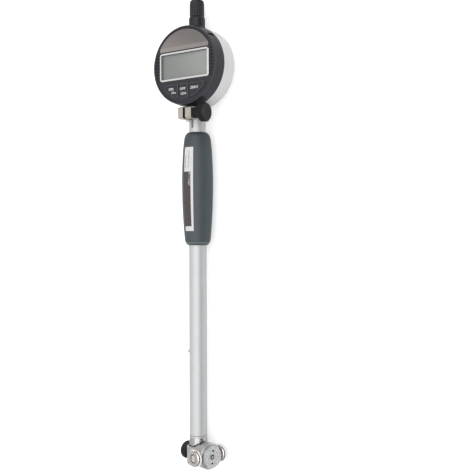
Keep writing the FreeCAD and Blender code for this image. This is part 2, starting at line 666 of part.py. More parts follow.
def centring_slide():
    """Ring that slides in the head and carries the two guide wheels."""
    ring = turned([(PLUNGER_RADIUS + 0.1, 9.4), (HEAD_BORE - RUN - 0.3, 9.4), (HEAD_BORE - RUN, 9.7),
                   (HEAD_BORE - RUN, 13.6), (HEAD_BORE - RUN - 0.3, 13.9), (PLUNGER_RADIUS + 0.1, 13.9)])
    for side in (WHEEL_SIDE, OTHER_SIDE):
        ring = ring.cut(placed(rod(2.0, 4.2, 12), side))
    return ring


def wheel_posts():
    """Two threaded posts that stand out of the slide through the slots of the head."""
    return Part.Compound([placed(tube(2.0, 1.25, 4.2, WHEEL_INNER - 0.15), side)
                          for side in (WHEEL_SIDE, OTHER_SIDE)])


def guide_wheel(side):
    """Polished wheel with a crowned rim and a recessed hub."""
    middle = (WHEEL_INNER + WHEEL_OUTER) / 2
    hub = 3.3
    rim = WHEEL_RADIUS - 0.75
    wheel = turned_edges([line((1.3, WHEEL_INNER), (rim, WHEEL_INNER)),
                          arc((rim, WHEEL_INNER), (WHEEL_RADIUS, middle), (rim, WHEEL_OUTER)),
                          line((rim, WHEEL_OUTER), (hub, WHEEL_OUTER)),
                          line((hub, WHEEL_OUTER), (hub, WHEEL_OUTER - 1.1)),
                          line((hub, WHEEL_OUTER - 1.1), (1.3, WHEEL_OUTER - 1.1)),
                          line((1.3, WHEEL_OUTER - 1.1), (1.3, WHEEL_INNER))])
    return placed(wheel, side)


def wheel_screws():
    """Two slotted shoulder screws, the axles of the guide wheels."""
    screw = slotted_screw(2.55, WHEEL_OUTER - 0.95, WHEEL_OUTER - 0.1, 1.25, 5.0, 0.75, 0.5)
    return Part.Compound([placed(screw, side) for side in (WHEEL_SIDE, OTHER_SIDE)])


def centring_spring():
    """Spring behind the slide that pushes the wheels outwards, drawn at its compressed length."""
    return spring(6.3, 0.45, HEAD_BORE_FLOOR, 1.75, 0.5)


def bell_crank():
    """Right-angled lever that turns the contact's travel upwards into the push rod."""
    half = 1.5
    hub = rod(1.7, -half, half)
    tips = rod(1.6, -half, half, 0, -LEVER_ARM).fuse(rod(1.6, -half, half, LEVER_ARM, 0))
    arms = box(-1.0, 1.0, -LEVER_ARM, 0, -half, half).fuse(box(0, LEVER_ARM, -1.0, 1.0, -half, half))
    lever = hub.fuse(tips).fuse(arms).cut(rod(1.0 + RUN, -5, 5)).removeSplitter()
    return across(lever).translated(Vector(0, LEVER_ARM, LEVER_ARM))


def lever_pin():
    """Pivot of the lever, pressed across the head."""
    return across(rod(1.0, -8.2, 8.2)).translated(Vector(0, LEVER_ARM, LEVER_ARM))


def anvil_seat():
    """Threaded sleeve on the far side of the head that takes an interchangeable anvil."""
    return rod(SEAT_RADIUS, SEAT_END, -4.5).cut(rod(SEAT_BORE, SEAT_END - 1, SEAT_END + SEAT_BORE_LENGTH))


def anvil_nut():
    """Dark knurled nut that locks the anvil."""
    nut = knurled(NUT_RADIUS, NUT_END, NUT_START, 34, 0.35, 0.6)
    nut = nut.cut(rod(SEAT_RADIUS + RUN, SEAT_END - 0.1, NUT_START + 1))
    return nut.cut(rod(3.2, NUT_END - 1, SEAT_END))


# ---------------------------------------------------------------- assembly
def build():
    """All pieces by node name, standing in the gauge's axes."""
    case = indicator_case()
    grip = handle_grip()
    dial_pieces = {
        "indicator_case": case,
        "rear_cover": rear_cover(),
        "rear_cover_screws": rear_cover_screws(),
        "stem": stem(case),
        "top_sleeve": top_sleeve(),
        "dust_cap": dust_cap(),
        "upper_bush": upper_bush(),
        "lower_bush": lower_bush(),
        "spindle": spindle(),
        "contact_point": contact_point(),
        "scale_carrier": scale_carrier(),
        "scale_strip": scale_strip(),
        "sensor_board": sensor_board(),
        "spindle_spring": spindle_spring(),
        "display_housing": display_housing(),
        "display_base": display_base(),
        "display_retainer": display_retainer(),
        "display_board": display_board(),
        "lcd_frame": lcd_frame(),
        "lcd_panel": lcd_panel(),
        "lcd_window": lcd_window(),
        "window_plate": window_plate(),
        "battery": battery(),
        "data_socket": data_socket(),
    }
    for name in BUTTON_SPANS:
        dial_pieces[name] = button(name)
    tube_pieces = {
        "clamp_collar": clamp_collar(),
        "thumbscrew_stud": placed(thumbscrew_stud(), SCREW),
        "thumbscrew_knob": placed(thumbscrew_knob(), SCREW),
        "main_tube": main_tube(),
        "handle_grip": grip,
        "handle_label": handle_label(grip),
        "guide_pin": placed(guide_pin(), PIN),
        "push_rod": push_rod(),
        "rod_bush_upper": rod_bush_upper(),
        "rod_bush_lower": rod_bush_lower(),
        "push_rod_spring": push_rod_spring(),
    }
    head_pieces = {
        "head_collar": head_collar(),
        "head_body": head_body(),
        "front_cap": front_cap(),
        "contact_plunger": contact_plunger(),
        "contact_tip": contact_tip(),
        "centring_slide": centring_slide(),
        "wheel_posts": wheel_posts(),
        "guide_wheel_right": guide_wheel(WHEEL_SIDE),
        "guide_wheel_left": guide_wheel(OTHER_SIDE),
        "wheel_screws": wheel_screws(),
        "centring_spring": centring_spring(),
        "bell_crank": bell_crank(),
        "lever_pin": lever_pin(),
        "anvil_seat": anvil_seat(),
        "anvil_nut": anvil_nut(),
    }
    pieces = {name: placed(shape, DIAL) for name, shape in dial_pieces.items()}
    pieces.update(tube_pieces)
    pieces.update({name: placed(shape, HEAD) for name, shape in head_pieces.items()})
    return pieces


def rest_placement(pieces):
    """Lays the gauge on its back, display up, over the origin, and down to the bench."""
    lie_down = Rotation(Vector(1, 0, 0), -90)
    settle = Rotation(Vector(0, 1, 0), REST_ROLL).multiply(Rotation(Vector(1, 0, 0), REST_PITCH))
    turning = Placement(ORIGIN, settle.multiply(lie_down))
    extent = None
    for shape in pieces.values():
        bounds = placed(shape, turning).optimalBoundingBox(True, False)
        if extent is None:
            extent = bounds
        else:
            extent.add(bounds)
    shift = Vector(-extent.Center.x, -extent.Center.y, -extent.ZMin)
    return Placement(shift, Rotation()).multiply(turning)


def main():
    """Writes one STEP file for each piece."""
    os.makedirs("parts", exist_ok=True)
    pieces = build()
    lying = rest_placement(pieces)
    for name, shape in pieces.items():
        placed(shape, lying).exportStep("parts/" + name + ".step")
    print(len(pieces), "pieces written")
    return pieces, lying


if __name__ == "__main__":
    main()
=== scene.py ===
# %% [markdown]
# # Digital bore gauge
# A bore gauge measures how wide a hole is. It is a long tube with a measuring head at
# one end and an indicator at the other. Its solids come ready made from the
# engineering model, and this notebook dresses them. Each step says what one piece or
# finish is on the real gauge, and then makes it.

# %% Load the frame
import json
import math

import bmesh
import bpy
from mathutils import Matrix, Vector


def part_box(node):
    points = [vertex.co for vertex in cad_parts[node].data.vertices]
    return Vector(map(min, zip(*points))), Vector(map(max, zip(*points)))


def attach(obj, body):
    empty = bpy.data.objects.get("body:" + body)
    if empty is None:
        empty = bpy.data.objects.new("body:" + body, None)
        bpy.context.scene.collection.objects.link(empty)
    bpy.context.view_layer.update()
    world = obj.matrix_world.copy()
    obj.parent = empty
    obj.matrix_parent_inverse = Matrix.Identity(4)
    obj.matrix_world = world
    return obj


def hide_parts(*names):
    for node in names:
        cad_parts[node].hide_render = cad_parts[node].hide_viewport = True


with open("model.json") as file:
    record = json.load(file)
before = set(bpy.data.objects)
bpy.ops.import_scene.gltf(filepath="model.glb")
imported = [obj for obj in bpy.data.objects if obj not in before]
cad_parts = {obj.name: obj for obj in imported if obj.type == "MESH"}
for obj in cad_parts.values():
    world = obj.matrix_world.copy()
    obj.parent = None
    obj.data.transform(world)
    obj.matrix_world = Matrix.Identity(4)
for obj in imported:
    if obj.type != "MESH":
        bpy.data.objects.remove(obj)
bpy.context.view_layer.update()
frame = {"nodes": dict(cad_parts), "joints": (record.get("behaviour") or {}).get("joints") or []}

# %% [markdown]
# ## The gauge's own directions
# The gauge lies on its back, turned a little where its wheel and head touch the
# table. Guessing that turn by eye would never be exact, so the directions are read
# from the joints: the indicator turns about the tube, the display about the line
# that points out of its face, and the contact slides along the measuring line.

# %% Directions and places from the joints
MM = 0.001
JOINTS = {joint["name"]: joint for joint in frame["joints"]}


def joint_axis(name):
    """The direction that a joint turns about or slides along."""
    return Vector(JOINTS[name]["axis"]).normalized()


def joint_place(name):
    """A point on a joint's axis."""
    return Vector(JOINTS[name]["pos_m"])


UP = joint_axis("indicator_turn")
OUT = joint_axis("display_turn")
RIGHT = UP.cross(OUT)
MEASURE = -joint_axis("contact_slide")
SIDE = UP.cross(MEASURE)
DIAL = joint_place("display_turn")
TUBE = joint_place("indicator_turn")
FOOT = TUBE + UP * (joint_place("lock_nut_turn") - TUBE).dot(UP)


def at(right, up, out, origin=FOOT):
    """A point in millimetres right of, up from and out of a place on the gauge."""
    return origin + (RIGHT * right + UP * up + OUT * out) * MM


print("tube axis foot:", [round(v, 4) for v in FOOT], "dial:", [round(v, 4) for v in DIAL])

# %% [markdown]
# ## The camera
# A long tool is best seen from some way off, so that its ends don't look stretched.
# The camera stands in front and to the right of the display, level with the lower
# end of the handle, and its angle of view is narrow. It is placed along the gauge's
# own directions, so it looks down at the table the gauge lies on.

# %% Camera
CAMERA_YAW = math.radians(34.4)
CAMERA_DISTANCE = 625 * MM
CAMERA_ASIDE = 28.97 * MM
CAMERA_LEVEL = 165.6 * MM
CAMERA_ROLL = math.radians(-0.2)
CAMERA_SHIFT = 0.01
CAMERA_NEAR = 10 * MM
SENSOR_WIDTH = 36.0
FOCAL_RATIO = 1.7085

view_right = RIGHT * math.cos(CAMERA_YAW) - OUT * math.sin(CAMERA_YAW)
view_forward = -RIGHT * math.sin(CAMERA_YAW) - OUT * math.cos(CAMERA_YAW)
eye = FOOT + UP * CAMERA_LEVEL + view_right * CAMERA_ASIDE - view_forward * CAMERA_DISTANCE
turn = Matrix((view_right, UP, -view_forward)).transposed().to_4x4()

camera = bpy.data.objects.new("camera", bpy.data.cameras.new("camera"))
bpy.context.scene.collection.objects.link(camera)
camera.matrix_world = Matrix.Translation(eye) @ turn @ Matrix.Rotation(CAMERA_ROLL, 4, "Z")
camera.data.sensor_width = SENSOR_WIDTH
camera.data.lens = SENSOR_WIDTH * FOCAL_RATIO
camera.data.shift_y = CAMERA_SHIFT
camera.data.clip_start = CAMERA_NEAR
camera.data.dof.use_dof = False
bpy.context.scene.camera = camera
print("camera at", [round(v, 3) for v in eye], "lens", round(camera.data.lens, 1))

# %% [markdown]
# ## Writing shader maths as Python
# A node tree is easier to read as a formula. `Value` wraps one socket and adds a Math
# node for each operator, so that `1 - mask` works as it looks.

# %% Arithmetic on sockets
class Value:
    """One output socket that arithmetic can be done on."""

    def __init__(self, tree, socket):
        self.tree, self.socket = tree, socket

    def maths(self, operation, first, second):
        return self.tree.add("ShaderNodeMath", {"operation": operation}, {0: first, 1: second})

    def __add__(self, other):
        return self.maths("ADD", self, other)

    def __radd__(self, other):
        return self.maths("ADD", other, self)

    def __sub__(self, other):
        return self.maths("SUBTRACT", self, other)

    def __rsub__(self, other):
        return self.maths("SUBTRACT", other, self)

    def __mul__(self, other):
        return self.maths("MULTIPLY", self, other)

    def __rmul__(self, other):
        return self.maths("MULTIPLY", other, self)

    def __gt__(self, other):
        return self.maths("GREATER_THAN", self, other)

    def __lt__(self, other):
        return self.maths("LESS_THAN", self, other)


print("a Math node stands behind each of + - * < >")

# %% [markdown]
# Every other node comes from `Tree.add`: its settings first, then what goes into its
# sockets. The same class serves a material and the world, because both are trees.

# %% Node trees
class Tree:
    """A node tree that formulas are written into."""

    def __init__(self, node_tree):
        self.nodes, self.links = node_tree.nodes, node_tree.links

    def fill(self, node, sockets):
        """Give sockets a plain value, or a link where the value comes from a node."""
        for socket, value in sockets.items():
            if isinstance(value, Value):
                self.links.new(value.socket, node.inputs[socket])
            else:
                node.inputs[socket].default_value = value

    def add(self, kind, settings=None, sockets=None, output=0):
        """Make a node and give back one of its outputs."""
        node = self.nodes.new(kind)
        for setting, value in (settings or {}).items():
            setattr(node, setting, value)
        self.fill(node, sockets or {})
        return Value(self, node.outputs[output])

    def vector(self, operation, first, second=(0, 0, 0), output="Value"):
        return self.add("ShaderNodeVectorMath", {"operation": operation}, {0: first, 1: second}, output)

    def ramp(self, value, low, high, bottom=0.0, top=1.0):
        """The value bottom below low, top above high, and a smooth step between them."""
        limits = {"Value": value, "From Min": low, "From Max": high, "To Min": bottom, "To Max": top}
        return self.add("ShaderNodeMapRange", {"interpolation_type": "SMOOTHSTEP"}, limits)


print("node trees ready")

# %% [markdown]
# `Finish` is a material's tree. It adds what this gauge's finishes are made of: grain,
# rings, distances along and round an axis, and marks that are laid over a colour. All
# of them read the solid's own coordinates, so a pattern turns with its piece.

# %% Finishes as trees
class Finish(Tree):
    """One material's tree, with a Principled BSDF at its end."""

    def __init__(self, name, **constants):
        self.material = bpy.data.materials.new(name)
        self.material.use_nodes = True
        super().__init__(self.material.node_tree)
        self.shader = self.nodes["Principled BSDF"]
        self.set(**constants)
        self.place = self.add("ShaderNodeTexCoord", output="Object")

    def set(self, **sockets):
        """Fill the shader's sockets. Base_Color stands for Base Color."""
        self.fill(self.shader, {name.replace("_", " "): value for name, value in sockets.items()})

    def mix(self, factor, first, second):
        colours = {0: factor, 6: first, 7: second}
        return self.add("ShaderNodeMix", {"data_type": "RGBA"}, colours, output=2)

    def noise(self, size, detail, squeeze=None):
        """Noise whose lumps are about size metres wide, and longer where squeeze is below 1."""
        where = self.place
        if squeeze:
            where = self.add("ShaderNodeMapping", {"vector_type": "POINT"}, {0: where, 3: squeeze})
        return self.add("ShaderNodeTexNoise", {}, {"Vector": where, "Scale": 1 / size, "Detail": detail})

    def rings(self, reach, pitch):
        """Noise that changes only with reach, as the marks of a lathe tool do."""
        sockets = {"W": reach, "Scale": 1 / pitch, "Detail": 2.0}
        return self.add("ShaderNodeTexNoise", {"noise_dimensions": "1D"}, sockets)

    def bump(self, height, strength, depth):
        sockets = {"Height": height, "Strength": strength, "Distance": depth}
        self.set(Normal=self.add("ShaderNodeBump", {}, sockets))

    def along(self, axis, origin):
        """Metres along axis from origin."""
        return self.vector("DOT_PRODUCT", self.vector("SUBTRACT", self.place, origin, "Vector"), axis)

    def radius(self, axis, origin):
        """Metres from the line through origin along axis."""
        away = self.vector("SUBTRACT", self.place, origin, "Vector")
        return self.vector("LENGTH", self.vector("CROSS_PRODUCT", away, axis, "Vector"))

    def between(self, value, low, high, soft=0.06):
        """A mask that is 1 from low to high, in millimetres, with edges as soft as given."""
        rise = self.ramp(value, (low - soft) * MM, (low + soft) * MM)
        return rise * (1 - self.ramp(value, (high - soft) * MM, (high + soft) * MM))

    def lay(self, mask, colour, amount):
        """Lay a colour over the finish where the mask is 1."""
        base = Value(self, self.shader.inputs["Base Color"].links[0].from_socket)
        self.set(Base_Color=self.mix(mask * amount, base, colour))


print("finishes read Object coordinates")

# %% [markdown]
# ## Greys
# Hardly any grey is neutral. Steel leans to brown, paint to blue, and the dye in black
# plastic a little to violet, so each grey is written as a brightness and a lean.

# %% Greys
SHADOW_BLACK = (0.006, 0.006, 0.007, 1)


def grey(value, blue=0.0):
    """A grey that leans towards blue, or towards brown when blue is negative."""
    return (value * (1 - blue), value, value * (1 + blue), 1.0)


def dyed_black(value):
    """The black of dyed plastic, which leans a little towards violet."""
    return (value * 1.1, value, value * 1.42, 1.0)


def darker(colour, factor):
    return tuple(part * factor for part in colour[:3]) + (1.0,)


print("dyed black at 0.025:", [round(part, 4) for part in dyed_black(0.025)])

# %% [markdown]
# ## The table
# The table is a broad plain sheet just under the gauge. Its own grey keeps the soft
# shadow, and a little light of its own, which only the camera and mirrors see, lifts
# it to the white of a studio sweep without putting more light on the gauge.

# %% Table
TABLE_HALF = 3.0
TABLE_GAP = 0.02 * MM
lowest = min(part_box(node)[0].z for node in frame["nodes"])
mesh = bmesh.new()
bmesh.ops.create_grid(mesh, x_segments=1, y_segments=1, size=TABLE_HALF)
bmesh.ops.translate(mesh, verts=mesh.verts, vec=(0, 0, lowest - TABLE_GAP))
table = bpy.data.objects.new("table", bpy.data.meshes.new("table"))
mesh.to_mesh(table.data)
mesh.free()
bpy.context.scene.collection.objects.link(table)
print("table top at z =", round(lowest, 5))

# %% Paper on the table
PAPER_GLOW = 0.5
MIRRORED_SHARE = 0.3
paper = Finish("paper_sweep", Base_Color=grey(0.86), Roughness=0.9, Specular_IOR_Level=0.1)
plain = Value(paper, paper.shader.outputs[0])
glow = paper.add("ShaderNodeEmission", {}, {"Color": grey(1.0), "Strength": PAPER_GLOW})
both = paper.add("ShaderNodeAddShader", {}, {0: plain, 1: glow})
seen = paper.add("ShaderNodeLightPath", output="Is Camera Ray")
mirrored = paper.add("ShaderNodeLightPath", output="Is Glossy Ray")
lit = paper.add("ShaderNodeMixShader", {}, {0: seen + mirrored * MIRRORED_SHARE, 1: plain, 2: both})
paper.fill(paper.nodes["Material Output"], {"Surface": lit})
table.data.materials.append(paper.material)
print("paper glows with", PAPER_GLOW)

# %% [markdown]
# ## The soft box
# Polished steel has no colour of its own: it shows what stands round it. One large
# soft box hangs over the display, and its reflection is the pale band along the tube.

# %% Soft box
BOX_SIZE = (1.7, 2.0)
BOX_DISTANCE = 1.4
BOX_WATTS = 10.5
BOX_LEFT, BOX_RAISED = 0.3, 0.15
GAUGE_MIDDLE = at(0, 150, 10)

towards = (-view_forward - view_right * BOX_LEFT + UP * BOX_RAISED).normalized()
across = UP.cross(towards).normalized()
turn = Matrix((across, towards.cross(across), towards)).transposed().to_4x4()
lamp = bpy.data.objects.new("key_box", bpy.data.lights.new("key_box", "AREA"))
lamp.data.shape = "RECTANGLE"
lamp.data.size, lamp.data.size_y = BOX_SIZE
lamp.data.energy = BOX_WATTS
lamp.matrix_world = Matrix.Translation(GAUGE_MIDDLE + towards * BOX_DISTANCE) @ turn
bpy.context.scene.collection.objects.link(lamp)
print("soft box of", BOX_SIZE, "m,", BOX_WATTS, "W")

# %% [markdown]
# ## The room
# The room has a pale ceiling and dark walls. The dark walls give each bright edge the
# dark line beside it that makes it look like metal. A room could be modelled, but a
# sky that gets brighter with height does the same with four nodes. The camera itself
# sees plain white behind the gauge.

# %% Room
WALL_LIGHT, CEILING_LIGHT = 0.05, 0.84
WALL_TOP, CEILING_EDGE = 0.22, 0.48
ROOM_LEAN = 0.18
world = bpy.data.worlds.new("studio_sky")
world.use_nodes = True
bpy.context.scene.world = world

sky = Tree(world.node_tree)
direction = sky.add("ShaderNodeTexCoord", output="Generated")
height = sky.vector("DOT_PRODUCT", direction, Vector((0, 0, 1)) - RIGHT * ROOM_LEAN)
light = sky.ramp(height, WALL_TOP, CEILING_EDGE, WALL_LIGHT, CEILING_LIGHT)
room = sky.nodes["Background"]
sky.fill(room, {"Color": grey(1.0), "Strength": light})
backdrop = sky.add("ShaderNodeBackground", {}, {"Color": grey(1.0), "Strength": 1.0})
seen = sky.add("ShaderNodeLightPath", output="Is Camera Ray")
pick = sky.add("ShaderNodeMixShader", {}, {0: seen, 1: Value(sky, room.outputs[0]), 2: backdrop})
sky.fill(sky.nodes["World Output"], {"Surface": pick})
bpy.context.scene.view_settings.view_transform = "Standard"
print("room light from", WALL_LIGHT, "to", CEILING_LIGHT)

# %% [markdown]
# ## Ground steel
# Tubes, pins and rods are ground, which leaves fine lines. Here the lines are noise
# that is stretched along the tube. They darken the steel a little, change how rough it
# is, and raise a very small bump.

# %% Ground steel
ALONG_TUBE = (1, 0.03, 1)
LINE_WIDTH, CLOUD_WIDTH = 0.25 * MM, 9 * MM
SCRATCH_DEPTH = 0.01 * MM


def ground_metal(name, colour, rough, metallic=1.0):
    """Metal with fine lines along the tube, as grinding leaves."""
    finish = Finish(name, Metallic=metallic)
    lines = finish.noise(LINE_WIDTH, 3, ALONG_TUBE)
    cloud = finish.noise(CLOUD_WIDTH, 2)
    finish.set(
        Base_Color=finish.mix(finish.ramp(lines, 0.3, 0.7), colour, darker(colour, 0.93)),
        Roughness=rough + (lines - 0.5) * 0.06 + (cloud - 0.5) * 0.05,
    )
    finish.bump(lines, 0.12, SCRATCH_DEPTH)
    return finish


plain_steel = ground_metal("plain_steel", grey(0.6), 0.35)
collar_bright = ground_metal("collar_bright", grey(0.5, 0.01), 0.2)
bush_bronze = ground_metal("bush_bronze", (0.62, 0.44, 0.24, 1), 0.35)
print("ground metals: plain steel, bright collar, bronze bushes")

# %% [markdown]
# ## The tube
# The tube is plated with a satin coat, duller than bare steel. A dark ring is painted a little above its
# lower end, where the head's collar meets it.

# %% Tube
DARK_RING = (13.85, 14.3)
tube = ground_metal("tube_satin", grey(0.67, 0.01), 0.52, metallic=0.55)
# a dark ring painted on the tube just above the collar
tube.lay(tube.between(tube.along(UP, FOOT), *DARK_RING), grey(0.12), 0.8)
print("dirt ring from", DARK_RING[0], "to", DARK_RING[1], "mm above the measuring line")

# %% [markdown]
# ## Blasted steel
# The head, its cap and the clamp are blasted with fine beads, which leaves pits that
# scatter the light. Fine noise makes the pits, and a coarser one the uneven tone.

# %% Blasted steel
PIT_WIDTH, PATCH_WIDTH = 0.22 * MM, 0.9 * MM
PIT_DEPTH = 0.02 * MM


def blasted_metal(name, colour, rough, bump=0.5, speckle=0.82, metallic=0.9):
    """Metal with fine pits, and with patches as dark as speckle says."""
    finish = Finish(name, Metallic=metallic)
    pits = finish.noise(PIT_WIDTH, 4)
    patches = finish.noise(PATCH_WIDTH, 3)
    tone = finish.ramp(pits * 0.35 + patches * 0.65, 0.4, 0.58)
    finish.set(
        Base_Color=finish.mix(tone, darker(colour, speckle), colour),
        Roughness=rough + (patches - 0.5) * 0.12,
    )
    finish.bump(pits, bump, PIT_DEPTH)
    return finish


wheel_screw_steel = blasted_metal("screw_steel", (0.8, 0.72, 0.68, 1), 0.3, bump=0.1, metallic=0.4)
print("blasted steel: pits", round(PIT_WIDTH / MM, 2), "mm wide")

# %% [markdown]
# ## The head and its cap
# The top of the head is dark where the collar shades it, a painted shade. The cap is turned in with a
# spanner that fits two small holes, and their edges and the bore of the contact are
# painted dark as shade. These painted shades are masks on the piece's own coordinates,
# laid over the common finish.

# %% Head and front cap
SHADE_BOTTOM, SHADE_RADIUS = 5.8, 8.0
head = blasted_metal("head_blasted", grey(0.64, -0.01), 0.48, speckle=0.72)
shade = (head.along(UP, FOOT) > SHADE_BOTTOM * MM) * (head.radius(UP, FOOT) < SHADE_RADIUS * MM)
# painted shade on the head under the collar
head.lay(shade, grey(0.06), 0.85)

CAP_SKIN, BORE_SHADE_REACH = 17.68, 8.0
SPANNER_REACH, SPANNER_TURN, SPANNER_SHADE_RADIUS = 4.79, math.radians(6), 0.85
front_cap = blasted_metal("cap_blasted", grey(0.72, 0.01), 0.42, bump=0.35, speckle=0.6)
from_middle = front_cap.radius(MEASURE, FOOT)
# painted shade on the floor of the contact's bore and round each spanner hole, a little wider than the hole
hole_shade = (front_cap.along(MEASURE, FOOT) < CAP_SKIN * MM) * (from_middle < BORE_SHADE_REACH * MM)
spanner_line = UP * math.cos(SPANNER_TURN) + SIDE * math.sin(SPANNER_TURN)
for side in (-1, 1):
    hole = FOOT + spanner_line * (side * SPANNER_REACH * MM)
    hole_shade = hole_shade + (front_cap.radius(MEASURE, hole) < SPANNER_SHADE_RADIUS * MM)
front_cap.lay(hole_shade, SHADOW_BLACK, 0.95)
print("spanner holes", 2 * SPANNER_REACH, "mm apart")

# %% [markdown]
# ## The clamp
# The clamp is a split ring that a screw draws together. Its slit is sawn, and the walls
# of the cut are painted black as the shade inside the slit.

# %% Clamp
SLIT_SHADE_HALF, SLIT_SHADE_SOFT = 1.05, 0.04
clamp = blasted_metal("clamp_steel", (0.6, 0.55, 0.5, 1), 0.38, bump=0.2)
# painted shade: black on the walls of the slit
cut = clamp.between(clamp.along(RIGHT, FOOT), -SLIT_SHADE_HALF, SLIT_SHADE_HALF, SLIT_SHADE_SOFT)
clamp.lay(cut, SHADOW_BLACK, 1.0)
print("black up to", SLIT_SHADE_HALF, "mm each side of the cut's middle")

# %% [markdown]
# ## Turned steel: the guide wheels and the contact
# A lathe tool leaves rings round the axis. Noise that reads only the distance from the
# axis gives them. The wheels also have a rim that is polished like a mirror, round a
# duller face, and their hub is dark.

# %% Guide wheels
RIM_START, RIM_FULL, HUB_RADIUS = 5.7, 5.95, 3.32
WHEEL_PITCH, SMEAR_WIDTH = 0.14 * MM, 1.2 * MM
WHEEL_FACE, WHEEL_RING = (0.6, 0.545, 0.52, 1), (0.39, 0.35, 0.33, 1)
WHEEL_HUB, WHEEL_RIM = (0.2, 0.17, 0.16, 1), (0.86, 0.83, 0.81, 1)


def wheel_steel(name, origin):
    """A turned face inside a rim that is polished like a mirror."""
    finish = Finish(name)
    reach = finish.radius(SIDE, origin)
    rim = finish.ramp(reach, RIM_START * MM, RIM_FULL * MM)
    smears = finish.noise(SMEAR_WIDTH, 3)
    marks = finish.ramp(finish.rings(reach, WHEEL_PITCH) * 0.5 + smears * 0.5, 0.35, 0.65)
    face = finish.mix(reach < HUB_RADIUS * MM, finish.mix(marks, WHEEL_FACE, WHEEL_RING), WHEEL_HUB)
    finish.set(
        Base_Color=finish.mix(rim, face, WHEEL_RIM),
        Metallic=0.35 + rim * 0.65,
        Roughness=0.34 - rim * 0.3 + (smears - 0.5) * 0.06,
    )
    return finish


wheel_left = wheel_steel("wheel_left_steel", joint_place("left_wheel_spin"))
wheel_right = wheel_steel("wheel_right_steel", joint_place("right_wheel_spin"))
print("mirror rim outside", RIM_FULL, "mm")

# %% Contact tip
TIP_PITCH, TIP_SMEAR = 0.12 * MM, 2.5 * MM
TIP_GREY, TIP_DARK = grey(0.4), darker(grey(0.4), 0.88)
tip_steel = Finish("tip_steel", Metallic=1.0)
rings = tip_steel.rings(tip_steel.radius(MEASURE, FOOT), TIP_PITCH)
smears = tip_steel.noise(TIP_SMEAR, 3)
tip_steel.set(
    Base_Color=tip_steel.mix(tip_steel.ramp(rings, 0.35, 0.7), TIP_GREY, TIP_DARK),
    Roughness=0.32 + (rings - 0.5) * 0.1 + (smears - 0.5) * 0.1,
)
tip_steel.bump(rings, 0.25, SCRATCH_DEPTH)
print("tip rings every", round(TIP_PITCH / MM, 2), "mm")

# %% [markdown]
# ## Polished metal
# Pins, springs and the bright frame of the screen are polished. Nothing that is handled
# stays a perfect mirror, so faint wipe marks make it rougher in places.

# %% Polished metal
WIPE_WIDTH = 1.6 * MM


def polished_metal(name, colour, rough):
    """Polished metal with faint wipe marks."""
    finish = Finish(name, Metallic=1.0)
    marks = finish.noise(WIPE_WIDTH, 4)
    finish.set(
        Base_Color=finish.mix(marks, colour, darker(colour, 0.95)),
        Roughness=rough + finish.ramp(marks, 0.4, 0.7) * 0.06,
    )
    return finish


steel_polished = polished_metal("steel_polished", (0.7, 0.67, 0.65, 1), 0.16)
spring_wire = polished_metal("spring_wire", grey(0.5), 0.3)
cell_nickel = polished_metal("cell_nickel", grey(0.7), 0.25)
print("wipe marks", round(WIPE_WIDTH / MM, 1), "mm wide")

# %% [markdown]
# The frame of the screen is bright outside. Its inner wall, and a hair at the foot of its
# outer sides, are painted black as shade.

# %% Screen frame
INNER_WALL_TOP = (9.7, 9.95)
lcd_frame = polished_metal("frame_bright", grey(0.86), 0.25)
depth = lcd_frame.along(OUT, DIAL)
# painted shade on the frame's inner wall and the foot of its sides
wall = 1 - lcd_frame.ramp(depth, INNER_WALL_TOP[0] * MM, INNER_WALL_TOP[1] * MM)
lcd_frame.lay(wall, SHADOW_BLACK, 0.9)
print("frame is dark below", INNER_WALL_TOP[0], "mm")

# %% [markdown]
# ## Moulded plastic
# Moulded plastic isn't perfectly even. Its mould is spark eroded, which gives it a fine
# grain, and handling polishes that grain in places.

# %% Moulded plastic
GRAIN_WIDTH, WORN_WIDTH = 0.3 * MM, 14 * MM


def moulded_plastic(name, colour, rough, bump=0.25, specular=0.5):
    """Moulded plastic with a fine grain and slightly polished patches."""
    finish = Finish(name, Specular_IOR_Level=specular)
    grain = finish.noise(GRAIN_WIDTH, 3)
    worn = finish.noise(WORN_WIDTH, 2)
    finish.set(
        Base_Color=finish.mix(worn, darker(colour, 0.85), colour),
        Roughness=rough + (worn - 0.5) * 0.1 + (grain - 0.5) * 0.08,
    )
    finish.bump(grain, bump, PIT_DEPTH)
    return finish


case = moulded_plastic("case_silver", grey(0.95), 0.42, bump=0.1)
inner_black = moulded_plastic("inner_black", dyed_black(0.03), 0.5)
cap_black = moulded_plastic("cap_black", dyed_black(0.0125), 0.42, bump=0.2, specular=0.4)
knob_black = moulded_plastic("knob_black", dyed_black(0.008), 0.45, bump=0.4, specular=0.3)
board_green = moulded_plastic("board_green", (0.03, 0.14, 0.06, 1), 0.4)
print("plastic grain", round(GRAIN_WIDTH / MM, 1), "mm wide")

# %% [markdown]
# ## The display's housing and keys
# The finger grooves beside the screen are painted dark as shade, and the rim and the
# keys' bevels are painted paler as highlights where their edges catch the light.

# %% Housing and keys
GROOVE_TOP, GROOVE_REACH = 9.4, 28.0
RIM_RADIUS, RIM_BACK = 29.35, 8.9
KEY_BEVEL, BEVEL_SOFT = (10.3, 10.66), 0.03

housing = moulded_plastic("housing_black", dyed_black(0.025), 0.42, bump=0.15, specular=0.4)
depth, reach = housing.along(OUT, DIAL), housing.radius(OUT, DIAL)
# painted shade in the finger grooves
housing.lay((depth < GROOVE_TOP * MM) * (reach < GROOVE_REACH * MM), SHADOW_BLACK, 0.85)
# painted highlight along the outer rim of the housing
housing.lay((reach > RIM_RADIUS * MM) * (depth > RIM_BACK * MM), grey(0.12, 0.03), 0.25)

keys = moulded_plastic("key_black", dyed_black(0.025), 0.42, bump=0.15, specular=0.4)
# painted highlight on the keys' bevels
keys.lay(keys.between(keys.along(OUT, DIAL), *KEY_BEVEL, BEVEL_SOFT), grey(0.3), 0.42)
print("key bevel from", KEY_BEVEL[0], "to", KEY_BEVEL[1], "mm out of the dial")
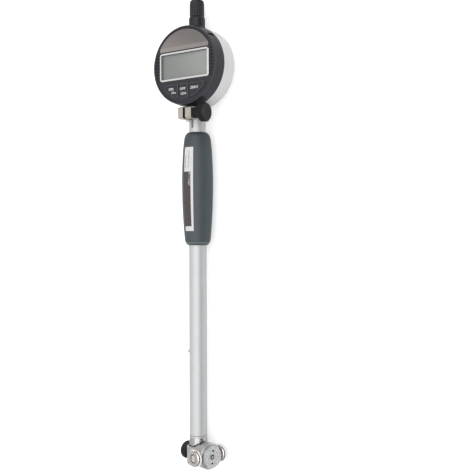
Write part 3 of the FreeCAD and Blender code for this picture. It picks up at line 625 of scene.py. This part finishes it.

# %% [markdown]
# ## The grip
# The grip is moulded over the tube. Its upper end and shoulder are painted darker as shade,
# and near the lower end a pale ring is a painted highlight where the lower shoulder catches the light.

# %% Grip
UPPER_END = (228.0, 247.0)
SHOULDER = (246.2, 247.6)
LOWER_EDGE_HIGHLIGHT = (163.0, 163.5)
GRIP_GREY, END_SHADE_GREY = (0.069, 0.087, 0.097, 1), (0.04, 0.051, 0.058, 1)
SHOULDER_SHADE_GREY, EDGE_HIGHLIGHT_GREY = (0.03, 0.035, 0.04, 1), (0.3, 0.33, 0.35, 1)
grip = moulded_plastic("grip_grey", GRIP_GREY, 0.5, bump=0.15)
height = grip.along(UP, FOOT)
# painted shade: the upper end darkens towards the top
grip.lay(grip.ramp(height, UPPER_END[0] * MM, UPPER_END[1] * MM), END_SHADE_GREY, 0.6)
# painted shade on the upper shoulder
grip.lay(grip.ramp(height, SHOULDER[0] * MM, SHOULDER[1] * MM), SHOULDER_SHADE_GREY, 0.7)
# painted highlight: a pale ring on the lower shoulder
grip.lay(grip.between(height, *LOWER_EDGE_HIGHLIGHT), EDGE_HIGHLIGHT_GREY, 0.8)
print("witness line at", LOWER_EDGE_HIGHLIGHT[0], "mm")

# %% [markdown]
# ## The lock nut
# The nut is steel with a black coat, which is thin and rubbed pale on its lumps.

# %% Lock nut
LUMP_WIDTH = 0.5 * MM
nut_black = Finish("nut_black", Metallic=0.6)
lumps = nut_black.noise(LUMP_WIDTH, 4)
rub = nut_black.ramp(lumps, 0.62, 0.8) * 0.5
nut_black.set(
    Base_Color=nut_black.mix(rub, dyed_black(0.016), grey(0.3)),
    Roughness=0.5 + (lumps - 0.5) * 0.15,
)
nut_black.bump(lumps, 0.2, PIT_DEPTH)
print("lumps", round(LUMP_WIDTH / MM, 1), "mm wide")

# %% [markdown]
# ## The printed label
# A gloss paper label is wrapped round the front of the handle. Its print is flat ink,
# so it belongs in the material. A dark table of values fills most of it, from the left
# edge, and the white above it holds lines of small type. The type says nothing: noise
# that is cut off at a level breaks each line into marks of the size of letters.

# %% Label paper and small type
FIBRE_WIDTH, LETTER_WIDTH = 0.4 * MM, 0.55 * MM
# each line: middle and half width across, low and high end, and how black it is
TYPE_LINES = (
    (-2.7, 0.45, 220.5, 231.0, 0.9),
    (0.4, 0.75, 220.5, 234.0, 0.45),
    (2.6, 0.3, 221.5, 229.0, 0.35),
)
label = Finish("label_print", Coat_Weight=0.3, Coat_Roughness=0.15)
height, across = label.along(UP, FOOT), label.along(RIGHT, FOOT)
fibres = label.noise(FIBRE_WIDTH, 3)
letters = label.noise(LETTER_WIDTH, 1)
lines = 0.0
for middle, half, low, high, black in TYPE_LINES:
    line = label.between(across, middle - half, middle + half)
    lines = lines + line * label.between(height, low, high) * black
small_type = lines * (letters > 0.47)
white = label.mix(fibres, grey(0.68, -0.02), grey(0.73, -0.02))
print("lines of small type:", len(TYPE_LINES))

# %% Label table
PANEL_LOW, PANEL_HIGH, PANEL_LEFT, PANEL_RIGHT = 176.0, 218.0, -6.0, 2.3
HEADING_LOW, HEADING_LEFT = 207.0, 0.2
MARKS_LEFT, MARKS_RIGHT = -3.4, 1.5
ROW_HALF, ROW_GAP = 0.75, 0.42
CELL_WIDTH, CELL_SQUEEZE = 0.35 * MM, (1, 0.25, 1)
INK_DARK, INK_PALE = (0.047, 0.036, 0.034, 1), (0.19, 0.16, 0.15, 1)

panel = label.between(height, PANEL_LOW, PANEL_HIGH) * label.between(across, PANEL_LEFT, PANEL_RIGHT)
rows = label.add("ShaderNodeMath", {"operation": "PINGPONG"}, {0: height, 1: ROW_HALF * MM})
cells = label.noise(CELL_WIDTH, 2, CELL_SQUEEZE)
marks = label.between(across, MARKS_LEFT, MARKS_RIGHT) * (rows > ROW_GAP * MM) * (cells > 0.52)
heading = label.between(across, HEADING_LEFT, PANEL_RIGHT) * label.between(height, HEADING_LOW, PANEL_HIGH)
ink = label.mix(marks * 0.4, INK_DARK, INK_PALE)
ink = label.mix(heading * (letters > 0.56), ink, grey(0.6, -0.02))
label.set(
    Base_Color=label.mix(panel, label.mix(small_type, white, grey(0.2)), ink),
    Roughness=0.34 + (fibres - 0.5) * 0.08 + panel * 0.06,
)
label.bump(fibres, 0.05, SCRATCH_DEPTH)
print("label table from", PANEL_LOW, "to", PANEL_HIGH, "mm")

# %% [markdown]
# ## Screen and window plate
# A liquid crystal screen is grey-green film over a foil. It is painted a little paler
# towards the side the light comes from, a painted reflection, and a dark band along its left
# and top edges is painted shade cast by the frame. The smoked plate above it is one tinted
# sheet with a gloss face, painted paler towards its lower left as painted light, with a
# paler strip beside the screen.

# %% Screen
SCREEN_HALF, SCREEN_RISE = 21.9, 9.5
LEFT_SHADE_WIDTH, TOP_SHADE_WIDTH = 2.2, 1.3
LIGHT_START, LIGHT_FULL, LIGHT_WANDER = -24 * MM, 26 * MM, 8 * MM
FILM_DARK, FILM_PALE = (0.11, 0.128, 0.11, 1), (0.245, 0.268, 0.245, 1)
FRAME_SHADE_DARK = (0.045, 0.048, 0.045, 1)
screen = Finish("screen_grey", Coat_Weight=0.4, Coat_Roughness=0.06)
across, height = screen.along(RIGHT, DIAL), screen.along(UP, DIAL)
cloud = screen.noise(CLOUD_WIDTH, 2)
# painted light: the film is paler towards the upper right
light = screen.ramp(across + height * 0.5 + (cloud - 0.5) * LIGHT_WANDER, LIGHT_START, LIGHT_FULL)
# painted shade: a dark band along the left and top edges, under the frame
left_frame_shade = 1 - screen.ramp(across, -SCREEN_HALF * MM, (LEFT_SHADE_WIDTH - SCREEN_HALF) * MM)
top_frame_shade = screen.ramp(height, (SCREEN_RISE - TOP_SHADE_WIDTH) * MM, SCREEN_RISE * MM)
film = screen.mix(light, FILM_DARK, FILM_PALE)
screen.set(
    Base_Color=screen.mix(left_frame_shade * 0.7 + top_frame_shade * 0.35, film, FRAME_SHADE_DARK),
    Roughness=0.3 + (cloud - 0.5) * 0.1,
)
print("screen", 2 * SCREEN_HALF, "by", 2 * SCREEN_RISE, "mm")

# %% Window plate
STRIP = (11.5, 15.0)
STRIP_SOFT = 0.4
TINT_LIGHT_START, TINT_LIGHT_FULL, TINT_LIGHT_WANDER, TINT_CLOUD = 2 * MM, 28 * MM, 5 * MM, 12 * MM
TINT_LIT_LOW, TINT_SHADED_HIGH = (0.235, 0.207, 0.19, 1), (0.142, 0.128, 0.12, 1)
TINT_STRIP = (0.33, 0.30, 0.28, 1)
window = Finish("window_film", Coat_Weight=0.5, Coat_Roughness=0.05)
height, across = window.along(UP, DIAL), window.along(RIGHT, DIAL)
cloud = window.noise(TINT_CLOUD, 2)
# painted light: the tint is paler towards the lower left
light = window.ramp(height + across * 0.45 + (cloud - 0.5) * TINT_LIGHT_WANDER, TINT_LIGHT_START, TINT_LIGHT_FULL)
strip = window.between(height, *STRIP, STRIP_SOFT)
window.set(
    Base_Color=window.mix(strip * 0.45, window.mix(light, TINT_LIT_LOW, TINT_SHADED_HIGH), TINT_STRIP),
    Roughness=0.2 + (cloud - 0.5) * 0.06,
)
print("pale strip from", STRIP[0], "to", STRIP[1], "mm above the dial's middle")

# %% [markdown]
# ## A finish for every solid
# One table says which finish each solid has, so no piece keeps a bare colour.

# %% Finishes
WINDOW_ALPHA = 0.12
window_clear = moulded_plastic("window_clear", grey(0.8), 0.05, bump=0.0)
window_clear.set(Alpha=WINDOW_ALPHA)

FINISHES = (
    (case, "indicator_case rear_cover"),
    (housing, "display_housing"),
    (keys, "unit_button power_button zero_button"),
    (inner_black, "display_base data_socket scale_carrier"),
    (cap_black, "dust_cap top_sleeve"),
    (knob_black, "thumbscrew_knob"),
    (grip, "handle_grip"),
    (label, "handle_label"),
    (tube, "main_tube"),
    (collar_bright, "head_collar"),
    (head, "head_body"),
    (front_cap, "front_cap"),
    (clamp, "clamp_collar"),
    (wheel_left, "guide_wheel_left"),
    (wheel_right, "guide_wheel_right"),
    (tip_steel, "contact_tip"),
    (wheel_screw_steel, "wheel_screws"),
    (steel_polished, "contact_plunger wheel_posts guide_pin contact_point"),
    (nut_black, "anvil_nut"),
    (lcd_frame, "lcd_frame"),
    (plain_steel, "stem spindle push_rod rear_cover_screws thumbscrew_stud lever_pin"),
    (plain_steel, "anvil_seat centring_slide bell_crank display_retainer"),
    (bush_bronze, "upper_bush lower_bush rod_bush_upper rod_bush_lower"),
    (spring_wire, "spindle_spring push_rod_spring centring_spring"),
    (board_green, "sensor_board display_board scale_strip"),
    (cell_nickel, "battery"),
    (screen, "lcd_panel"),
    (window_clear, "lcd_window"),
    (window, "window_plate"),
)
dressed = 0
for finish, members in FINISHES:
    for node in members.split():
        solid = frame["nodes"][node]
        solid.data.materials.clear()
        solid.data.materials.append(finish.material)
        dressed += 1
print("dressed", dressed, "of", len(frame["nodes"]), "solids")

# %% [markdown]
# ## The clear window
# The solid window is exactly as wide as the frame it sits in, so the two share their
# side faces, and it is chance which of two shared faces a render shows. The pane here
# is the same plate with a hair of room all round, as a glued pane has.

# %% Window pane
PANE_ROOM = 0.06
SAME_POINT = 0.001 * MM
pane = bpy.data.objects.new("window_pane", bpy.data.meshes.new("window_pane"))
mesh = bmesh.new()
mesh.from_mesh(frame["nodes"]["lcd_window"].data)
bmesh.ops.remove_doubles(mesh, verts=mesh.verts, dist=SAME_POINT)
for axis in (RIGHT, UP):
    reach = [vertex.co.dot(axis) for vertex in mesh.verts]
    middle, half = (max(reach) + min(reach)) / 2, (max(reach) - min(reach)) / 2
    for vertex in mesh.verts:
        vertex.co -= axis * (vertex.co.dot(axis) - middle) * (PANE_ROOM * MM / half)
mesh.to_mesh(pane.data)
mesh.free()
bpy.context.scene.collection.objects.link(pane)
pane.data.materials.append(window_clear.material)
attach(pane, "display")
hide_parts("lcd_window")
print("pane corners:", len(pane.data.vertices))

# %% [markdown]
# ## Lettering on the keys
# The words are printed on the keys, so each word is a mesh as thin as ink that rides
# on its own key and goes down with it. A font curve gives the letters. It is made a
# mesh first and only then put in place, so its object stays at the origin.

# %% Printing ink
ink_white = Finish("ink_white", Roughness=0.5)
wear = ink_white.noise(GRAIN_WIDTH, 3)
ink_white.set(Base_Color=ink_white.mix(wear, grey(0.62), grey(0.8)))
print("ink colour:", ink_white.material.name)

# %% A printed word
INK_THICKNESS = 0.03
LETTER_HEIGHT = 1.9
FONT_EXTRUDE, FONT_SWELL, FONT_STEPS = 0.02, 0.02, 3


def word(name, text, centre, width):
    """A word on the display's face, with its middle and its width in millimetres as given."""
    curve = bpy.data.curves.new(name, "FONT")
    curve.body, curve.align_x, curve.align_y = text, "CENTER", "CENTER"
    curve.size, curve.extrude, curve.offset = 1.0, FONT_EXTRUDE, FONT_SWELL
    curve.resolution_u = FONT_STEPS
    holder = bpy.data.objects.new(name, curve)
    bpy.context.scene.collection.objects.link(holder)
    bpy.context.view_layer.update()
    mesh = bpy.data.meshes.new_from_object(holder.evaluated_get(bpy.context.evaluated_depsgraph_get()))
    bpy.data.objects.remove(holder)
    mesh.name = name
    wide, high = (max(v.co[i] for v in mesh.vertices) - min(v.co[i] for v in mesh.vertices) for i in (0, 1))
    thick = 2 * FONT_EXTRUDE
    size = Matrix.Diagonal((width * MM / wide, LETTER_HEIGHT * MM / high, INK_THICKNESS * MM / thick, 1))
    mesh.transform(Matrix.Translation(centre) @ Matrix((RIGHT, UP, OUT)).transposed().to_4x4() @ size)
    piece = bpy.data.objects.new(name, mesh)
    bpy.context.scene.collection.objects.link(piece)
    return piece


print("letters", LETTER_HEIGHT, "mm high")

# %% Words on the keys
KEY_FACE = 10.7
# each word: name, text, place right of and up from the dial's middle, width, body
KEY_WORDS = (
    ("word_mm", "mm", -11.8, -17.3, 4.4, "unit_key"),
    ("word_inch", "/in", -9.4, -20.4, 4.2, "unit_key"),
    ("word_off", "OFF", -0.6, -18.2, 5.5, "power_key"),
    ("word_on", "/ON", 0.1, -21.9, 5.3, "power_key"),
    ("word_zero", "ZERO", 10.5, -18.2, 7.6, "zero_key"),
)
for name, text, across, up, width, body in KEY_WORDS:
    piece = word(name, text, at(across, up, KEY_FACE, DIAL), width)
    piece.data.materials.append(ink_white.material)
    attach(piece, body)
    print(name, len(piece.data.polygons), "faces")
